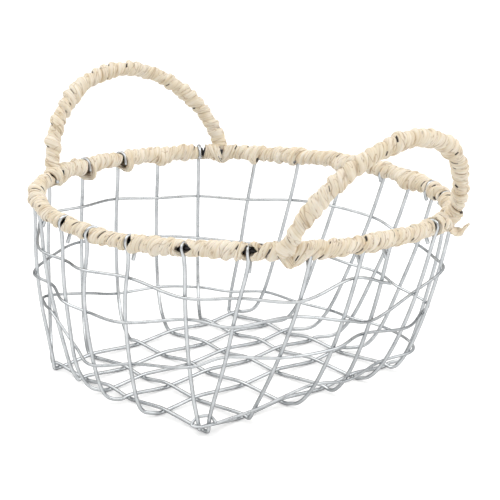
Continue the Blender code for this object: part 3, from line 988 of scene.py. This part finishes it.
# How much more often each wrap shows painted shadow in the gaps between turns
slit_shadow_shares = {"rim_wrap_left": 0.0, "rim_wrap_front": 0.06, "rim_wrap_right": 0.04, "rim_wrap_back": 0.0}
lump_spread = 0.0046
lump_angle = math.radians(-112)
cover_lift = 0.0010
cover_spread = 0.0028
cover_angle = math.radians(60)
# Shift of a lump along the rim from its hook, and its size
tail_lumps = {
    ("left", 0): (0.0000, 0.0016), ("left", 1): (0.0000, 0.0056), ("left", 2): (-0.0026, 0.0046),
    ("left", 3): (-0.0018, 0.0040), ("left", 5): (0.0000, 0.0024), ("back", 0): (0.0010, 0.0014),
    ("back", 1): (0.0020, 0.0030), ("back", 3): (-0.0010, 0.0044),
}
# How far a window opens before and after its hook, then its middle and its spread round the hoop in degrees
window_table = {
    ("front", 2): (0.0000, 0.0048, 40, 70), ("front", 3): (0.0000, 0.0034, 10, 70),
    ("front", 4): (0.0000, 0.0052, 40, 60), ("front", 5): (0.0030, 0.0078, 20, 52),
    ("right", 0): (0.0022, 0.0054, 24, 50), ("right", 4): (0.0056, 0.0000, 20, 130),
    ("back", 5): (0.0014, 0.0014, 150, 80), ("back", 4): (0.0014, 0.0004, 100, 50),
    ("left", 4): (0.0040, 0.0002, 120, 220), ("left", 2): (0.0000, 0.0042, 95, 50),
    ("left", 1): (0.0000, 0.0036, 95, 46), ("left", 0): (0.0000, 0.0060, 150, 80),
}

windows = [
    (rim_distance(wall_sides[side][0][index]), hook_slants.get((side, index), 0.0), *shape)
    for (side, index), shape in window_table.items()
]
lumps = [
    (rim_distance(wall_sides[side][0][index]) + shift, size, lump_spread, lump_angle)
    for (side, index), (shift, size) in tail_lumps.items()
]
lumps += [
    (rim_distance(degrees), cover_lift, cover_spread, cover_angle)
    for side, (angles, _, _) in wall_sides.items() for index, degrees in enumerate(angles)
    if (side, index) not in hook_slants
]


def wrap_limit(mark, angle, way):
    """How far a turn may reach toward a hook at this angle round the hoop, so that its window stays open."""
    at, slant, before, after, middle, spread = mark
    turned = within_half_turn(math.degrees(angle))
    open_share = max(0.0, 1 - abs(within_half_turn(turned - middle) / spread)) ** window_fullness
    clear_share = 1.0 if under_side_degrees < turned < middle else open_share
    gap = hook_clear * clear_share + (after if way > 0 else before) * open_share
    return at + slant * (1 - math.cos(angle)) / 2 + way * gap


feet = sorted(left_feet + right_feet)
stretches = (
    ("rim_wrap_left", feet[3] - rim_track.length, feet[0]),
    ("rim_wrap_front", feet[0], feet[1]),
    ("rim_wrap_right", feet[1], feet[2]),
    ("rim_wrap_back", feet[2], feet[3]),
)
for number, (node, start, end) in enumerate(stretches):
    marks = sorted(
        (at + shift, *shape) for at, *shape in windows for shift in (0, -rim_track.length)
        if start < at + shift < end
    )
    marks = [(start + foot_gap, *no_window)] + marks + [(end - foot_gap, *no_window)]
    turn = -math.pi / 2
    stations = []
    for count, (left, right) in enumerate(zip(marks, marks[1:])):
        first = left[0] + hook_clear + left[3] / 2
        last = right[0] - hook_clear - right[2] / 2
        seed = number * rim_seed_step + count
        wound, turn = wind(first, last, turn, rim_pitch, rim_strip_half, seed, *leans[node])
        for at, angle, edge, crown, half, slope in wound:
            for place, size, reach, middle in lumps:
                gap = (at - place + rim_track.length / 2) % rim_track.length - rim_track.length / 2
                edge += size * math.exp(-(gap / reach) ** 2) * max(0.0, math.cos(angle - middle)) ** 2
            near = wrap_limit(left, angle, 1)
            far = max(near + least_width, wrap_limit(right, angle, -1))
            stations.append((at, angle, edge, crown, half, slope, near, far))
    mesh = strip_mesh()
    lay_strip(mesh, rim_track, stations, number + rim_seed, slit_shadow_shares[node])
    add_piece(f"{node}_raffia", mesh, raffia, [node])


# The handle wraps: one long strip of raffia wound up each arch from foot to foot, in turns a little wider
# than on the rim. Its ends are held by the lashings.
handle_pitch = 0.0070
handle_strip_half = 0.0047
handle_wrap_start = 0.0035
handle_turn_seed = 60
handle_turn_seed_step = 5
handle_seed = 8.21

for number, (name, node, track) in enumerate((
    ("handle_raffia_left", "handle_wrap_left", left_arch),
    ("handle_raffia_right", "handle_wrap_right", right_arch),
)):
    last = track.length - handle_wrap_start
    seed = handle_turn_seed + number * handle_turn_seed_step
    wound, _ = wind(handle_wrap_start, last, 0.0, handle_pitch, handle_strip_half, seed)
    stations = [(*station, 0.0, track.length) for station in wound]
    mesh = strip_mesh()
    lay_strip(mesh, track, stations, handle_seed + number)
    add_piece(name, mesh, raffia, [node])


# The foot lashings: a strip crossed over itself in a figure of eight round the rim, down one side of the
# handle, under the hoop and up the other side, pulled tight into a V that hangs a little below each foot.
lashing_half = 0.0028
lashing_radius = 0.0056
lashing_strands = 3
lashing_bottom = math.radians(-75)
lashing_crown = 0.0013
lashing_edge = 0.0009
lashing_room = 0.03
lashing_seed = 20.5
lashing_rounds = 2
strand_narrowing = 0.26
strand_sink = 0.0005
strand_lift = 0.0003
# Foot, shift along the rim, spread to both sides, and how far the V hangs down
lashing_table = (
    ("left_front", left_feet[0], 0.0010, 0.0080, 0.0095, 0.0020),
    ("left_back", left_feet[1], 0.0000, 0.0090, 0.0080, 0.0016),
    ("right_front", right_feet[0], 0.0042, 0.0085, 0.0135, 0.0040),
    ("right_back", right_feet[1], 0.0000, 0.0100, 0.0085, 0.0020),
)

for number, (name, foot, shift, low_spread, high_spread, bulge) in enumerate(lashing_table):
    mesh = strip_mesh()
    for strand in range(lashing_strands):
        narrow = 1 - strand_narrowing * strand
        steps = turn_stations * lashing_rounds
        stations = []
        for step in range(steps + 1):
            swing = 2 * lashing_rounds * math.pi * step / steps
            angle = lashing_bottom + math.pi - swing
            way = -math.cos(swing / 2)
            spread = (high_spread if way > 0 else low_spread) * narrow
            at = foot + shift + spread * way
            low_side = max(0.0, math.cos(angle - lashing_bottom)) ** 2
            radius = lashing_radius + bulge * low_side - strand_sink * strand
            radius += strand_lift * math.sin(swing / 2)
            slope = math.atan(-spread * math.sin(swing / 2) / 2 / radius)
            edge = radius - lashing_edge
            limits = (foot - lashing_room, foot + lashing_room)
            stations.append((at, angle, edge, lashing_crown, lashing_half, slope, *limits))
        lay_strip(mesh, rim_track, stations, lashing_seed + number * lashing_strands + strand)
    add_piece(f"foot_lashing_{name}_raffia", mesh, raffia, [f"foot_lashing_{name}"])


# The loose end of the raffia sticks out below the back foot of the right handle, folded and curling up.
# It is the same flat strip, narrowing to its torn tip.
loose_end_half = 0.0042
loose_end_narrowing = 0.5
loose_end_twist = 0.4
loose_end_samples = 6
loose_end_path = (
    (-0.0050, 0.0040, -0.0045),
    (0.0010, 0.0070, -0.0070),
    (0.0060, 0.0100, -0.0068),
    (0.0100, 0.0130, -0.0010),
)
loose_end_shares = (-1.0, -0.4, 0.0, 0.5, 1.0)
curl_share = 2.0
curl_change = 1.5
curl_rates = (3, 0.4)
curl_seed = 4.4
grain_rows = 5
grain_start = 0.3
grain_step = 0.1

point, tangent, outward, upward = rim_track.frame(right_feet[1])
corners = np.array([point + a * tangent + b * outward + c * upward for a, b, c in loose_end_path])
line = smooth_through(corners, loose_end_samples)
tangents = directions(line)
mesh = strip_mesh()
rings = []
for index, (place, heading) in enumerate(zip(line, tangents)):
    side = unit(np.cross(heading, sideways + loose_end_twist * up))
    lift = np.cross(side, heading)
    fade = 1 - loose_end_narrowing * index / len(line)
    ring = []
    for share in loose_end_shares:
        change = crumple(curl_change, share * curl_rates[0], index * curl_rates[1], curl_seed)
        fold = raffia_thickness * (curl_share * abs(share) + change)
        ring.append(place + side * share * loose_end_half * fade + lift * fold)
    rings.append(ring + [corner - lift * raffia_thickness for corner in ring[::-1]])
sweep_rings(mesh, rings, False)
strip_uv = mesh.loops.layers.uv["strip"]
for index, vert in enumerate(mesh.verts):
    row, column = divmod(index, len(rings[0]))
    place = grain_start + grain_step * min(column, len(rings[0]) - 1 - column)
    for loop in vert.link_loops:
        loop[strip_uv].uv = (row / grain_rows, place)
add_piece("raffia_loose_end", mesh, raffia, [])
